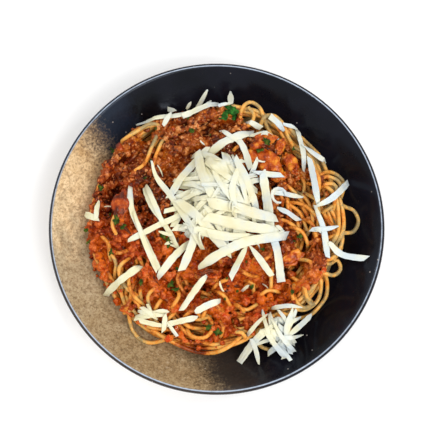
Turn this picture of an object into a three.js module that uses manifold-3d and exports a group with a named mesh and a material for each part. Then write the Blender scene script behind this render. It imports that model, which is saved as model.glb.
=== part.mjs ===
// A portion of spaghetti bolognese in a stoneware coupe bowl, in millimetres, +Z up.
// The origin is the centre of the bowl's foot, on the table; +Y is the side away from the diner.
// The bowl, the spaghetti, the meat sauce, the tomato pieces, the two heaps of grated cheese and
// each large loose shred of cheese are solids of their own, stacked in the order of serving.
import * as THREE from "three";
import { mergeVertices } from "three/addons/utils/BufferGeometryUtils.js";
import Module from "manifold-3d";

const wasm = await Module();
wasm.setup();

// ---------------------------------------------------------------- driving dimensions

const RIM_RADIUS = 105;
const RIM_HEIGHT = 42;
const WALL = 4.2;
const FLOOR_HEIGHT = 7;
const WALL_POWER = 3; // the inside rises with this power of the radius
const FOOT_OUTER = 52;
const FOOT_INNER = 46;
const FOOT_TAPER = 1.2;

const GAP = 0.35; // clearance between neighbouring pieces
const SPAGHETTI_TOP = 42;
const SPAGHETTI_EDGE = 5; // height of the heap's border above the bowl
const STRAND_RADIUS = 1.3;
const SAUCE_THICKNESS = 5;
const SAUCE_EDGE = 1.8;
const SHRED_THICKNESS = 1.3;
const FACET_TOLERANCE = 0.16; // less than half of the clearance

// Reach of the spaghetti and of the sauce from the middle, one spoke every 30 degrees from +X.
const SPAGHETTI_REACH = [80, 80, 79, 79, 80, 82, 82, 82, 81, 77, 73, 77];
const SAUCE_REACH = [66, 62, 68, 74, 77, 79, 80, 75, 67, 66, 62, 72];

// ---------------------------------------------------------------- helpers

const TURN = 2 * Math.PI;
const radians = THREE.MathUtils.degToRad;

// A closed mesh as a manifold-3d solid, with its shared vertices merged.
function toSolid(geometry) {
  const loose = geometry.index ? geometry.toNonIndexed() : geometry;
  const bare = new THREE.BufferGeometry();
  bare.setAttribute("position", loose.getAttribute("position"));
  const merged = mergeVertices(bare, 1e-3);
  const mesh = new wasm.Mesh({
    numProp: 3,
    vertProperties: merged.attributes.position.array,
    triVerts: new Uint32Array(merged.index.array),
  });
  return new wasm.Manifold(mesh);
}

// A manifold-3d solid as a three.js geometry.
function toGeometry(solid) {
  const mesh = solid.getMesh();
  const geometry = new THREE.BufferGeometry();
  geometry.setAttribute("position", new THREE.BufferAttribute(mesh.vertProperties, 3));
  geometry.setIndex(new THREE.BufferAttribute(mesh.triVerts, 1));
  geometry.computeVertexNormals();
  return geometry;
}

// The largest body of a solid, without needless facets and without what hangs by a hair.
function wholePiece(solid) {
  const simple = toSolid(toGeometry(solid.simplify(FACET_TOLERANCE)));
  return simple.decompose().sort((a, b) => b.volume() - a.volume())[0];
}

// A solid cut clear of the pieces that it rests on or between, with the gap above and beside them.
const spaced = new Map();

function clearOf(solid, below) {
  const { min, max } = solid.boundingBox();
  const steps = [[GAP, 0, 0], [-GAP, 0, 0], [0, GAP, 0], [0, -GAP, 0], [0, 0, GAP]];
  let rest = solid;
  for (const other of below) {
    const box = other.boundingBox();
    const near = [0, 1, 2].every((i) => box.min[i] - GAP < max[i] && box.max[i] + GAP > min[i]);
    if (!near) continue;
    if (!spaced.has(other)) {
      spaced.set(other, wasm.Manifold.union(steps.map((step) => other.translate(step))));
    }
    rest = rest.subtract(spaced.get(other));
  }
  return wholePiece(rest);
}

// A smooth closed outline through evenly spaced spokes, as radius by angle.
function outline(spokes) {
  return (angle) => {
    const place = ((angle / TURN + 1) % 1) * spokes.length;
    const first = Math.floor(place);
    const t = place - first;
    const [a, b, c, d] = [-1, 0, 1, 2].map((i) => spokes[(first + i + spokes.length) % spokes.length]);
    return b + 0.5 * t * (c - a + t * (2 * a - 5 * b + 4 * c - d + t * (3 * (b - c) + d - a)));
  };
}

// Gentle uneven relief between -1 and 1, with bumps about as wide as size.
function relief(x, y, size) {
  const [u, v] = [(x * Math.PI) / size, (y * Math.PI) / size];
  return (Math.sin(u + 1.3 * Math.sin(0.7 * v)) + Math.sin(v + 1.7 * Math.sin(0.6 * u + 2))) / 2;
}

// A solid that covers everything inside an uneven outline, between an underside and a top.
function moundSolid(reach, underside, top, rings, sectors) {
  const steps = [...Array(rings + 1).keys()].map((i) => i / rings);
  const profile = [
    ...steps.map((u) => new THREE.Vector2(u, 0)),
    ...steps.toReversed().map((u) => new THREE.Vector2(u, 1)),
  ];
  const geometry = new THREE.LatheGeometry(profile, sectors);
  geometry.rotateX(Math.PI / 2);
  const places = geometry.getAttribute("position");
  for (let i = 0; i < places.count; i++) {
    const angle = Math.atan2(places.getY(i), places.getX(i));
    const share = Math.hypot(places.getX(i), places.getY(i));
    const [x, y] = [share * reach(angle) * Math.cos(angle), share * reach(angle) * Math.sin(angle)];
    const height = places.getZ(i) > 0.5 ? top : underside;
    places.setXYZ(i, x, y, height(x, y, Math.min(share, 1)));
  }
  return toSolid(geometry);
}

// ---------------------------------------------------------------- bowl

const LIP_RADIUS = WALL / 2;
const LIP_CENTRE = new THREE.Vector2(RIM_RADIUS - LIP_RADIUS, RIM_HEIGHT - LIP_RADIUS);
const WALL_TILT = radians(45); // slope of the wall where it meets the lip
const INSIDE_RADIUS = LIP_CENTRE.x - LIP_RADIUS * Math.sin(WALL_TILT);
const INSIDE_RISE = LIP_CENTRE.y + LIP_RADIUS * Math.cos(WALL_TILT) - FLOOR_HEIGHT;

// Height of the bowl's inner surface.
function insideHeight(x, y) {
  return FLOOR_HEIGHT + INSIDE_RISE * (Math.hypot(x, y) / INSIDE_RADIUS) ** WALL_POWER;
}

// Slip-cast coupe bowl: one turned profile with a rounded lip and a foot ring.
function bowlGeometry() {
  const wallSteps = 7;
  const lipSteps = 5;
  const inside = (r) => new THREE.Vector2(r, insideHeight(r, 0));
  const outside = (r) => {
    const slope = Math.atan((WALL_POWER * (insideHeight(r, 0) - FLOOR_HEIGHT)) / r);
    const surface = inside(r);
    return surface.add(new THREE.Vector2(Math.sin(slope), -Math.cos(slope)).multiplyScalar(WALL));
  };
  const underside = FLOOR_HEIGHT - WALL;
  const profile = [
    new THREE.Vector2(0, underside),
    new THREE.Vector2(FOOT_INNER - FOOT_TAPER, underside),
    new THREE.Vector2(FOOT_INNER, underside - FOOT_TAPER / 2),
    new THREE.Vector2(FOOT_INNER + FOOT_TAPER, 0),
    new THREE.Vector2(FOOT_OUTER - FOOT_TAPER, 0),
    new THREE.Vector2(FOOT_OUTER, FOOT_TAPER),
  ];
  for (let i = 0; i < wallSteps; i++) {
    const share = i / wallSteps;
    profile.push(outside(FOOT_OUTER + FOOT_TAPER + share * (INSIDE_RADIUS - FOOT_OUTER - FOOT_TAPER)));
  }
  for (let i = 0; i <= lipSteps; i++) {
    const angle = WALL_TILT - Math.PI / 2 + (i / lipSteps) * Math.PI;
    const around = new THREE.Vector2(Math.cos(angle), Math.sin(angle)).multiplyScalar(LIP_RADIUS);
    profile.push(LIP_CENTRE.clone().add(around));
  }
  for (let i = wallSteps - 1; i >= 0; i--) profile.push(inside((INSIDE_RADIUS * i) / wallSteps));
  return new THREE.LatheGeometry(profile, 48).rotateX(Math.PI / 2);
}

// ---------------------------------------------------------------- spaghetti

// Loops of spaghetti that lie out over the bowl beyond the heap, in plan.
const LOOPS = {
  right: [[70, 19], [77, 15], [84, 11], [89, 4], [86, -2], [79, -6], [71, -8]],
  back: [[10, 64], [15, 69], [17, 76], [21, 79], [26, 76], [30, 67]],
  front_right: [[62, -22], [68, -32], [69, -40], [66, -47], [60, -52], [51, -55], [42, -54]],
  right_small: [[68, -14], [75, -20], [77, -25], [75, -30], [70, -31], [63, -27]],
  front_left: [[-66, -42], [-58, -54], [-54, -65], [-46, -71], [-38, -71], [-27, -65]],
};
// Swirled strands that show between the sauce and the border, as radius, start and end angle.
const SWIRLS = [
  [75, -38, 28],
  [71, 2, 62],
  [77, 30, 84],
  [74, 188, 232],
  [70, 236, 292],
  [75, 252, 286],
];

const spaghettiReach = outline(SPAGHETTI_REACH);

function spaghettiTop(x, y, share) {
  const edge = insideHeight(x, y) + SPAGHETTI_EDGE;
  const dome = 1 - share ** 2.4;
  return edge * (1 - dome) + SPAGHETTI_TOP * dome + 0.9 * relief(x, y, 9);
}

// Height of the spaghetti's top anywhere in plan; outside the heap it is the bowl itself.
function spaghettiHeight(x, y) {
  const share = Math.hypot(x, y) / spaghettiReach(Math.atan2(y, x));
  return share < 1 ? spaghettiTop(x, y, share) : insideHeight(x, y);
}

// One strand as a tube that rests half sunk on the heap, or clear of the bowl.
function strandSolid(route) {
  const points = route.map(([x, y]) => {
    const clear = insideHeight(x, y) + STRAND_RADIUS + 1.6;
    return new THREE.Vector3(x, y, Math.max(clear, spaghettiHeight(x, y)));
  });
  const path = new THREE.CatmullRomCurve3(points);
  const section = new THREE.Shape().absarc(0, 0, STRAND_RADIUS, 0, TURN);
  const steps = Math.round(path.getLength() / (4.5 * STRAND_RADIUS));
  const options = { steps, extrudePath: path, bevelEnabled: false, curveSegments: 3 };
  return toSolid(new THREE.ExtrudeGeometry(section, options));
}

function swirlRoute([radius, start, end]) {
  const count = Math.ceil((end - start) / 12);
  return [...Array(count + 1).keys()].map((i) => {
    const angle = radians(start + ((end - start) * i) / count);
    const wander = radius + 2 * Math.sin(3 * angle + radius);
    return [wander * Math.cos(angle), wander * Math.sin(angle)];
  });
}

const strandRoutes = [...Object.values(LOOPS), ...SWIRLS.map(swirlRoute)];

const spaghettiMound = moundSolid(
  spaghettiReach,
  (x, y) => insideHeight(x, y) + 2 * GAP,
  spaghettiTop,
  7,
  32,
);
const strands = wasm.Manifold.union(strandRoutes.map(strandSolid));
const spaghetti = wholePiece(spaghettiMound.add(strands));

// ---------------------------------------------------------------- meat sauce and tomato

// Soft pieces of tomato as long as the thumb's nail: place, heading and half sizes.
const TOMATOES = [
  { x: 31, y: 40, heading: -32, half: [11, 6.5, 3.2] },
  { x: -59, y: 9, heading: 84, half: [8, 4.6, 3] },
  { x: 47, y: -22, heading: 20, half: [7, 5, 3] },
];

const sauceReach = outline(SAUCE_REACH);

function sauceHeight(x, y) {
  const share = Math.hypot(x, y) / sauceReach(Math.atan2(y, x));
  if (share >= 1) return -Infinity;
  const depth = SAUCE_EDGE + (SAUCE_THICKNESS - SAUCE_EDGE) * (1 - share ** 4);
  return spaghettiHeight(x, y) + depth + 1.5 * relief(x + 3, y - 5, 10);
}

function tomatoSolid({ x, y, heading, half }, grown) {
  const geometry = new THREE.SphereGeometry(1, 14, 8);
  geometry.scale(...half.map((size) => size + grown));
  geometry.rotateZ(radians(heading));
  geometry.translate(x, y, sauceHeight(x, y) - 0.2 * half[2]);
  return toSolid(geometry);
}

const tomatoHoles = wasm.Manifold.union(TOMATOES.map((tomato) => tomatoSolid(tomato, GAP)));

const sauceMound = moundSolid(
  (angle) => sauceReach(angle) * 0.999,
  (x, y) => spaghettiHeight(x, y),
  (x, y, share) => (share < 1 ? sauceHeight(x, y) : spaghettiHeight(x, y) + SAUCE_EDGE),
  7,
  32,
);
const overSpaghetti = sauceMound.subtract(spaghettiMound.translate([0, 0, GAP]));
const sauce = clearOf(overSpaghetti.subtract(tomatoHoles), [strands]);
const tomatoes = TOMATOES.map((tomato) => clearOf(tomatoSolid(tomato, 0), [spaghetti]));

// ---------------------------------------------------------------- grated cheese

// Every shred laid so far, so that the next one can rest on it.
const laid = [];

function restingHeight(x, y) {
  const onShreds = laid.map((shred) => shred.heightAt(x, y));
  const onTomato = TOMATOES.map((t) =>
    Math.hypot(x - t.x, y - t.y) < t.half[0] ? sauceHeight(t.x, t.y) + 0.8 * t.half[2] : -Infinity,
  );
  return Math.max(spaghettiHeight(x, y), sauceHeight(x, y), ...onShreds, ...onTomato);
}

// One coarse shred: a flat strip with narrower ends, bent sideways by sag and draped over what
// lies below it. Sink is how far it settles into that; a negative sink keeps it clear.
function laySolid({ x, y, heading, length, width, sag = 0 }, sink) {
  const stations = 6;
  const angle = radians(heading);
  const [forward, left] = [
    [Math.cos(angle), Math.sin(angle)],
    [-Math.sin(angle), Math.cos(angle)],
  ];
  const inPlan = (along, across) => {
    const aside = across + sag * (1 - (2 * along / length) ** 2);
    return [x + along * forward[0] + aside * left[0], y + along * forward[1] + aside * left[1]];
  };
  const alongOf = (i) => length * (i / (stations - 1) - 0.5);
  const heights = [...Array(stations).keys()].map((i) => {
    const across = [-0.5, 0, 0.5].map((share) => restingHeight(...inPlan(alongOf(i), share * width)));
    return Math.max(...across) - sink;
  });
  // A strip pulled level between its supports: each station rises to the middle of its neighbours.
  for (let round = 0; round < 12; round++) {
    for (let i = 1; i < stations - 1; i++) {
      heights[i] = Math.max(heights[i], (heights[i - 1] + heights[i + 1]) / 2);
    }
  }
  const heightOf = (along) => {
    const place = THREE.MathUtils.clamp((along / length + 0.5) * (stations - 1), 0, stations - 1);
    const first = Math.min(Math.floor(place), stations - 2);
    return THREE.MathUtils.lerp(heights[first], heights[first + 1], place - first);
  };
  const geometry = new THREE.BoxGeometry(length, width, SHRED_THICKNESS, stations - 1, 1, 1);
  const places = geometry.getAttribute("position");
  for (let i = 0; i < places.count; i++) {
    const along = places.getX(i);
    const taper = 1 - 0.55 * Math.abs((2 * along) / length) ** 5;
    const [px, py] = inPlan(along, places.getY(i) * taper);
    places.setXYZ(i, px, py, heightOf(along) + SHRED_THICKNESS / 2 + places.getZ(i));
  }
  laid.push({
    heightAt(px, py) {
      const [dx, dy] = [px - x, py - y];
      const along = dx * forward[0] + dy * forward[1];
      const across = dx * left[0] + dy * left[1] - sag * (1 - (2 * along / length) ** 2);
      const over = Math.abs(along) <= length / 2 && Math.abs(across) <= width / 2;
      return over ? heightOf(along) + SHRED_THICKNESS : -Infinity;
    },
  });
  return toSolid(geometry);
}

// A repeatable stream of numbers from 0 to 1, for the shreds' scatter.
function scatterFrom(seed) {
  let state = seed;
  return () => {
    state = (state * 16807) % 2147483647;
    return state / 2147483647;
  };
}

// A pile of shreds dropped round a middle: the lower ones reach further out than the upper ones.
function pileSolid({ x, y, radius, coreHeight, count, lengths, seed }) {
  const next = scatterFrom(seed);
  const core = moundSolid(
    () => 0.62 * radius,
    (px, py) => restingHeight(x + px, y + py) - 1,
    (px, py, share) => restingHeight(x + px, y + py) + coreHeight * (1 - share ** 2) + 0.2,
    5,
    18,
  ).translate([x, y, 0]);
  const strips = [...Array(count).keys()].map((i) => {
    const share = 1 - i / count;
    const out = 0.75 * radius * share * Math.sqrt(next());
    const bearing = TURN * next();
    const strip = {
      x: x + out * Math.cos(bearing),
      y: y + out * Math.sin(bearing),
      heading: 360 * next(),
      length: lengths[0] + (lengths[1] - lengths[0]) * next(),
      width: 3.6 + 2.2 * next(),
      sag: 3 * (next() - 0.5),
    };
    return laySolid(strip, 0.7);
  });
  return wasm.Manifold.union([core, ...strips]);
}

// Large shreds that lie apart from the two heaps, from the far left round to the near left.
const LOOSE_SHREDS = [
  { x: -38, y: 69, heading: 4, length: 30, width: 3.6 },
  { x: -13, y: 74, heading: 17, length: 38, width: 4.6, sag: -2 },
  { x: 9.5, y: 84, heading: 88, length: 13, width: 4 },
  { x: -10, y: 85, heading: 58, length: 14, width: 3.4 },
  { x: 54, y: 49, heading: 94, length: 31, width: 3.2 },
  { x: 63, y: 46, heading: -31, length: 17, width: 4 },
  { x: 60, y: 24, heading: 98, length: 32, width: 4.2 },
  { x: 73, y: 18, heading: 42, length: 30, width: 4.4, sag: -2.4 },
  { x: 64.5, y: -7, heading: 105, length: 30, width: 4 },
  { x: 80, y: -16, heading: -22, length: 24, width: 4.2, sag: -1.6 },
  { x: -57.5, y: -34, heading: 36, length: 26, width: 5 },
  { x: -39, y: -57, heading: 11, length: 18, width: 5.6 },
  { x: -21, y: -60, heading: 5, length: 19, width: 4.6 },
  { x: -6, y: -51, heading: 28, length: 19, width: 4.6 },
  { x: -13, y: -43, heading: 50, length: 26, width: 4.6 },
  { x: -44, y: -12, heading: 112, length: 37, width: 4.4 },
  { x: -39, y: 12, heading: 115, length: 28, width: 4.4 },
  { x: -77, y: 5, heading: -35, length: 9, width: 4.6 },
];

const MIDDLE_PILE = { x: 6, y: 13, radius: 31, coreHeight: 6, count: 20, lengths: [26, 46], seed: 7 };
const SIDE_PILE = { x: 38, y: -66, radius: 15, coreHeight: 3, count: 8, lengths: [15, 26], seed: 21 };
const middlePile = pileSolid(MIDDLE_PILE);
const sidePile = pileSolid(SIDE_PILE);
const looseShreds = LOOSE_SHREDS.map((shred) => laySolid(shred, -GAP));

// ---------------------------------------------------------------- the assembled dish

const dish = new THREE.Group();

function addPiece(name, geometry, color, roughness) {
  const material = new THREE.MeshStandardMaterial({ color, roughness, metalness: 0 });
  const mesh = new THREE.Mesh(geometry, material);
  mesh.name = name;
  dish.add(mesh);
}

const numbered = (name, i) => `${name}_${String(i + 1).padStart(2, "0")}`;
const bowl = toSolid(bowlGeometry());
const food = [bowl, spaghetti, sauce, ...tomatoes];

addPiece("bowl", toGeometry(bowl), "#1d1c22", 0.2);
addPiece("spaghetti", toGeometry(spaghetti), "#e0a860", 0.4);
addPiece("meat_sauce", toGeometry(sauce), "#97401a", 0.35);
tomatoes.forEach((tomato, i) => addPiece(numbered("tomato", i), toGeometry(tomato), "#b2401c", 0.25));

const cheese = [clearOf(middlePile, food), clearOf(sidePile, food)];
addPiece("cheese_heap", toGeometry(cheese[0]), "#ece8d2", 0.5);
addPiece("cheese_side_heap", toGeometry(cheese[1]), "#e6e4d6", 0.5);
looseShreds.forEach((shred, i) => {
  const resting = clearOf(shred, [...food, ...cheese]);
  cheese.push(resting);
  addPiece(numbered("cheese_shred", i), toGeometry(resting), "#e9e4d0", 0.5);
});

export default dish;
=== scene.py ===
import functools
import math
import random

import bmesh
import bpy
import numpy as np
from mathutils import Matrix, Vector, kdtree, noise


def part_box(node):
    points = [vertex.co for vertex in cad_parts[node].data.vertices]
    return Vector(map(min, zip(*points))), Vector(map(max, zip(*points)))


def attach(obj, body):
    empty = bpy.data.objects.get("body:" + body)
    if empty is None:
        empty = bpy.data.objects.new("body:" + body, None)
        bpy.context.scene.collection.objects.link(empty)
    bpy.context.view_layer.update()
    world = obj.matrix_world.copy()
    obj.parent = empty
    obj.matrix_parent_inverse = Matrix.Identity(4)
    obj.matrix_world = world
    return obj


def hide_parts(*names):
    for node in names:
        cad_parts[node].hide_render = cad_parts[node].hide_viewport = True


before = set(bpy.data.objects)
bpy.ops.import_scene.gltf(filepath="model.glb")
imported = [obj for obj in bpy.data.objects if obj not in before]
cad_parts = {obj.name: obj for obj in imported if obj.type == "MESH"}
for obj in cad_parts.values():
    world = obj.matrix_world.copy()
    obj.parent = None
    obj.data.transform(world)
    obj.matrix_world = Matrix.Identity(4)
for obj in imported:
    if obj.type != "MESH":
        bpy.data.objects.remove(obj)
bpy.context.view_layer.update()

# ---------------------------------------------------------------- bowl
# A coupe pasta bowl of dark stoneware, jigger-turned with a rounded lip and a foot ring.
# Two reactive glazes meet across it: a glossy blue-black one, and a sandy one full of iron
# specks that was poured over the diner's left. The foot is wiped bare before the firing.

MM = 0.001
RIM_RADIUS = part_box("bowl")[1].x / MM
RIM_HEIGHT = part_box("bowl")[1].z / MM
WALL = 4.2
FLOOR_HEIGHT = 7.0
WALL_POWER = 3
FOOT_OUTER = 52.0
FOOT_INNER = 46.0
FOOT_TAPER = 1.2
LIP_RADIUS = WALL / 2
LIP_R = RIM_RADIUS - LIP_RADIUS
LIP_Z = RIM_HEIGHT - LIP_RADIUS
WALL_TILT = math.radians(45)
INSIDE_RADIUS = LIP_R - LIP_RADIUS * math.sin(WALL_TILT)
INSIDE_RISE = LIP_Z + LIP_RADIUS * math.cos(WALL_TILT) - FLOOR_HEIGHT


def inside_height(radius):
    """Height of the bowl's inner surface, in millimetres."""
    return FLOOR_HEIGHT + INSIDE_RISE * (radius / INSIDE_RADIUS) ** WALL_POWER


def outside_point(radius):
    """The point of the outer surface across the wall from the inner one at this radius."""
    slope = math.atan(WALL_POWER * (inside_height(radius) - FLOOR_HEIGHT) / radius)
    return radius + WALL * math.sin(slope), inside_height(radius) - WALL * math.cos(slope)


def finish_mesh(name, bm, recalculate=True):
    """Turn a bmesh in millimetres into a smooth-shaded object in metres at the origin."""
    if recalculate:
        bmesh.ops.recalc_face_normals(bm, faces=bm.faces)
    bmesh.ops.scale(bm, vec=(MM, MM, MM), verts=bm.verts)
    for face in bm.faces:
        face.smooth = True
    mesh = bpy.data.meshes.new(name)
    bm.to_mesh(mesh)
    bm.free()
    piece = bpy.data.objects.new(name, mesh)
    bpy.context.scene.collection.objects.link(piece)
    return piece


def served(piece, finish, slot, *nodes):
    """Give a piece its material, and let it ride the body in the place of these solids."""
    piece.data.materials.clear()
    piece.data.materials.append(finish)
    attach(piece, "root")
    if nodes:
        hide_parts(*nodes)


def linear(colour):
    """An sRGB hex colour as linear RGBA."""
    shares = [int(colour[i : i + 2], 16) / 255 for i in (1, 3, 5)]
    return [s / 12.92 if s <= 0.04045 else ((s + 0.055) / 1.055) ** 2.4 for s in shares] + [1.0]


def fill(made, inputs):
    """Set a node's inputs to values or hex colours, or link other nodes' outputs to them."""
    for key, value in inputs.items():
        if isinstance(value, bpy.types.NodeSocket):
            made.id_data.links.new(value, made.inputs[key])
        else:
            made.inputs[key].default_value = linear(value) if isinstance(value, str) else value


def add_node(tree, kind, inputs=None, stops=(), output=None, **settings):
    """Add a node, with stops for a ramp, and give its named or first working output."""
    made = tree.nodes.new("ShaderNode" + kind)
    for name, value in settings.items():
        setattr(made, name, value)
    fill(made, inputs or {})
    while stops and len(made.color_ramp.elements) < len(stops):
        made.color_ramp.elements.new(0.5)
    for i, (place, colour) in enumerate(stops):
        made.color_ramp.elements[i].position = place
        made.color_ramp.elements[i].color = linear(colour)
    return made.outputs[output] if output else next(out for out in made.outputs if out.enabled)


def new_material(name):
    """A material, its Principled shader, what adds nodes to it, and the object's coordinates."""
    material = bpy.data.materials.new(name)
    material.use_nodes = True
    shader = material.node_tree.nodes["Principled BSDF"]
    node = functools.partial(add_node, material.node_tree)
    return material, shader, node, node("TexCoord", output="Object")


def reactive_glaze():
    """Glazed stoneware: a glassy dark glaze, a sandy speckled one, and the bare clay foot."""
    material, shader, node, place = new_material("reactive-glazed stoneware")
    ahead = node("SeparateXYZ", {0: place}, output="Y")
    height = node("SeparateXYZ", {0: place}, output="Z")
    # The sandy pour's edge runs across the bowl; its normal points to the diner's left.
    edge_normal = (-0.902, -0.432, 0.0)
    edge_offset = 0.0445
    across = node("VectorMath", {0: place, 1: edge_normal}, operation="DOT_PRODUCT")
    drift = node("TexNoise", {"Vector": place, "Scale": 1 / 0.022, "Detail": 5.0})
    grit = node("TexNoise", {"Vector": place, "Scale": 1 / 0.0014, "Detail": 2.0, "Roughness": 0.6})
    shifted = node("Math", {0: drift, 1: 0.020, 2: across}, operation="MULTIPLY_ADD")
    # Within the 25 mm where the glazes ran together, grains of one lie in the other; the fade is drawn this
    # wide partly as painted shade beside the food.
    grains = node("Math", {0: grit, 1: 0.018, 2: shifted}, operation="MULTIPLY_ADD")
    sandy = {0: grains, 1: edge_offset + 0.009, 2: edge_offset + 0.033}
    sandy = node("MapRange", sandy, interpolation_type="SMOOTHSTEP")
    # The lip was dipped in the dark glaze again, so the sandy one stops short of it on both sides.
    plan = node("VectorMath", {0: place, 1: (1.0, 1.0, 0.0)}, operation="MULTIPLY")
    plan = node("VectorMath", {0: plan}, operation="LENGTH")
    poured = node("MapRange", {0: plan, 1: (LIP_R + 0.3) * MM, 2: (LIP_R - 0.9) * MM})
    sandy = node("Math", {0: sandy, 1: poured}, operation="MULTIPLY")
    # The sandy glaze is painted cream at the back and clay brown at the front, a painted light and shade
    # across the bowl, and it carries iron specks of about half a millimetre, drawn at a little over one so
    # that they show.
    cloud = node("TexNoise", {"Vector": place, "Scale": 1 / 0.009, "Detail": 3.0})
    shade_to_front = node("MapRange", {0: ahead, 1: 0.055, 2: -0.095, 3: 0.0, 4: 0.8})
    shade_to_front = node("Math", {0: cloud, 1: 0.45, 2: shade_to_front}, operation="MULTIPLY_ADD")
    sand = node(
        "ValToRGB", {0: shade_to_front},
        stops=[(0.2, "#cba775"), (0.42, "#ecd0a4"), (0.64, "#b9a685"), (1.0, "#a48c67")],
    )
    coarse = node("TexNoise", {"Vector": place, "Scale": 1 / 0.0035, "Detail": 4.0, "Roughness": 0.75})
    speck = node(
        "ValToRGB", {0: coarse},
        stops=[(0.34, "#a08f7d"), (0.45, "#d6cbbf"), (0.55, "#f6f3f0"), (0.68, "#ffffff")],
    )
    freckle = node(
        "ValToRGB", {0: grit},
        stops=[(0.32, "#a0907e"), (0.43, "#e6dfd7"), (0.52, "#ffffff"), (0.66, "#ffffff")],
    )
    specks = node("Mix", {0: 1.0, 6: speck, 7: freckle}, data_type="RGBA", blend_type="MULTIPLY")
    speckled = node("Mix", {0: 0.72, 6: sand, 7: specks}, data_type="RGBA", blend_type="MULTIPLY")
    # Single cream crystals grew in it too, fewer than the specks.
    bloom = node("MapRange", {0: grit, 1: 0.62, 2: 0.70, 3: 0.0, 4: 0.2})
    speckled = node("Mix", {0: bloom, 6: speckled, 7: "#f3e6cc"}, data_type="RGBA")
    # The dark glaze is nearly even, with a few pale pinholes about 1 mm across.
    pinhole = node("TexVoronoi", {"Vector": place, "Scale": 1 / 0.008})
    pinhole = node("MapRange", {0: pinhole, 1: 0.03, 2: 0.075, 3: 0.85, 4: 0.0})
    dark = node("ValToRGB", {0: drift}, stops=[(0.35, "#0b0a0e"), (0.65, "#121119")])
    # On the dark side of the join a band is painted: slate blue at the far side, a painted sheen of
    # reflected light, and brown at the near side, where the two glazes made a thin glaze.
    thin_glaze_and_sheen = node("MapRange", {0: ahead, 1: -0.05, 2: 0.05})
    thin_glaze_and_sheen = node("Mix", {0: thin_glaze_and_sheen, 6: "#4c4239", 7: "#2b3646"}, data_type="RGBA")
    slate = node("MapRange", {0: grains, 1: edge_offset - 0.016, 2: edge_offset + 0.0125, 3: 0.0, 4: 0.5})
    # A pale slate-blue line is painted over the sharp crest of the lip: partly the glaze running thin
    # there, partly a painted highlight.
    crest_highlight = node("MapRange", {0: height, 1: (RIM_HEIGHT - 0.07) * MM, 2: RIM_HEIGHT * MM, 3: 0.0, 4: 1.4})
    # This painted highlight is brightest on two sides, where the light catches the lip, and it is patchy.
    highlight_sides = node("VectorMath", {0: place, 1: (1.2, 3.8, 0.0)}, operation="DOT_PRODUCT")
    highlight_sides = node("Math", {0: highlight_sides}, operation="ABSOLUTE")
    highlight_sides = node("Math", {0: coarse, 1: 1.6, 2: highlight_sides}, operation="MULTIPLY_ADD")
    highlight_sides = node("Math", {0: highlight_sides, 1: 0.3}, operation="SUBTRACT")
    crest_highlight = node("Math", {0: crest_highlight, 1: highlight_sides}, operation="MULTIPLY", use_clamp=True)
    bare = node("Math", {0: height, 1: 0.6 * MM}, operation="LESS_THAN")
    # Over the dark glaze come the join band with its painted sheen, pinholes, sandy glaze and the crest
    # with its painted highlight, and last the bare foot.
    colour = dark
    for share, coat in (
        (slate, thin_glaze_and_sheen), (pinhole, "#a39a92"), (sandy, speckled), (crest_highlight, "#a9b4c4"), (bare, "#a58d75"),
    ):
        colour = node("Mix", {0: share, 6: colour, 7: coat}, data_type="RGBA")
    roughness = node("MapRange", {0: sandy, 1: 0.0, 2: 1.0, 3: 0.17, 4: 0.4})
    dimples = node("Bump", {"Height": grit, "Strength": 0.2, "Distance": 0.1 * MM})
    fill(shader, {
        "Base Color": colour, "Roughness": roughness, "Normal": dimples, "IOR": 1.33,
        "Specular Tint": "#d0dae8",
    })
    return material


def bowl_profile():
    """Half the turned section, from the axis under the foot, round the lip, to the axis inside."""
    under = FLOOR_HEIGHT - WALL
    points = [(0.0, under), (FOOT_INNER - FOOT_TAPER, under)]
    points += [(FOOT_INNER, under - FOOT_TAPER / 2), (FOOT_INNER + FOOT_TAPER, 0.3)]
    points += [(FOOT_INNER + FOOT_TAPER + 0.3, 0.0), (FOOT_OUTER - FOOT_TAPER - 0.3, 0.0)]
    points += [(FOOT_OUTER - FOOT_TAPER, 0.3), (FOOT_OUTER, FOOT_TAPER)]
    wall_steps, lip_steps, floor_steps = 20, 12, 24
    first = FOOT_OUTER + FOOT_TAPER
    for i in range(wall_steps):
        points.append(outside_point(first + i / wall_steps * (INSIDE_RADIUS - first)))
    for i in range(lip_steps + 1):
        angle = WALL_TILT - math.pi / 2 + math.pi * i / lip_steps
        points.append((LIP_R + LIP_RADIUS * math.cos(angle), LIP_Z + LIP_RADIUS * math.sin(angle)))
    for i in range(floor_steps - 1, -1, -1):
        radius = INSIDE_RADIUS * i / floor_steps
        points.append((radius, inside_height(radius)))
    return points


def turned(points, steps):
    """A closed turned body from a half section, with the axis points merged."""
    bm = bmesh.new()
    section = [bm.verts.new((radius, 0.0, height)) for radius, height in points]
    edges = [bm.edges.new(pair) for pair in zip(section, section[1:])]
    bmesh.ops.spin(
        bm, geom=section + edges, cent=(0, 0, 0), axis=(0, 0, 1), angle=2 * math.pi,
        steps=steps, use_merge=True,
    )
    bmesh.ops.remove_doubles(bm, verts=bm.verts, dist=1e-4)
    return bm


bowl = finish_mesh("stoneware_bowl", turned(bowl_profile(), 160))
served(bowl, reactive_glaze(), "reactive_glaze", "bowl")

# ---------------------------------------------------------------- what lies on what
# The food is laid down in the order of serving. A height map of the inside of the bowl
# holds the top of all that lies there so far, so that each new strand, lump or shred rests
# on the ones below it.

CELL = 0.5
GRID_AXIS = np.arange(-RIM_RADIUS, RIM_RADIUS + CELL, CELL)
GRID_X, GRID_Y = np.meshgrid(GRID_AXIS, GRID_AXIS, indexing="ij")
top = inside_height(np.hypot(GRID_X, GRID_Y))


def cells(values):
    """Nearest grid lines to these places in millimetres."""
    steps = np.rint((np.asarray(values) + RIM_RADIUS) / CELL).astype(int)
    return np.clip(steps, 0, len(GRID_AXIS) - 1)


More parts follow.
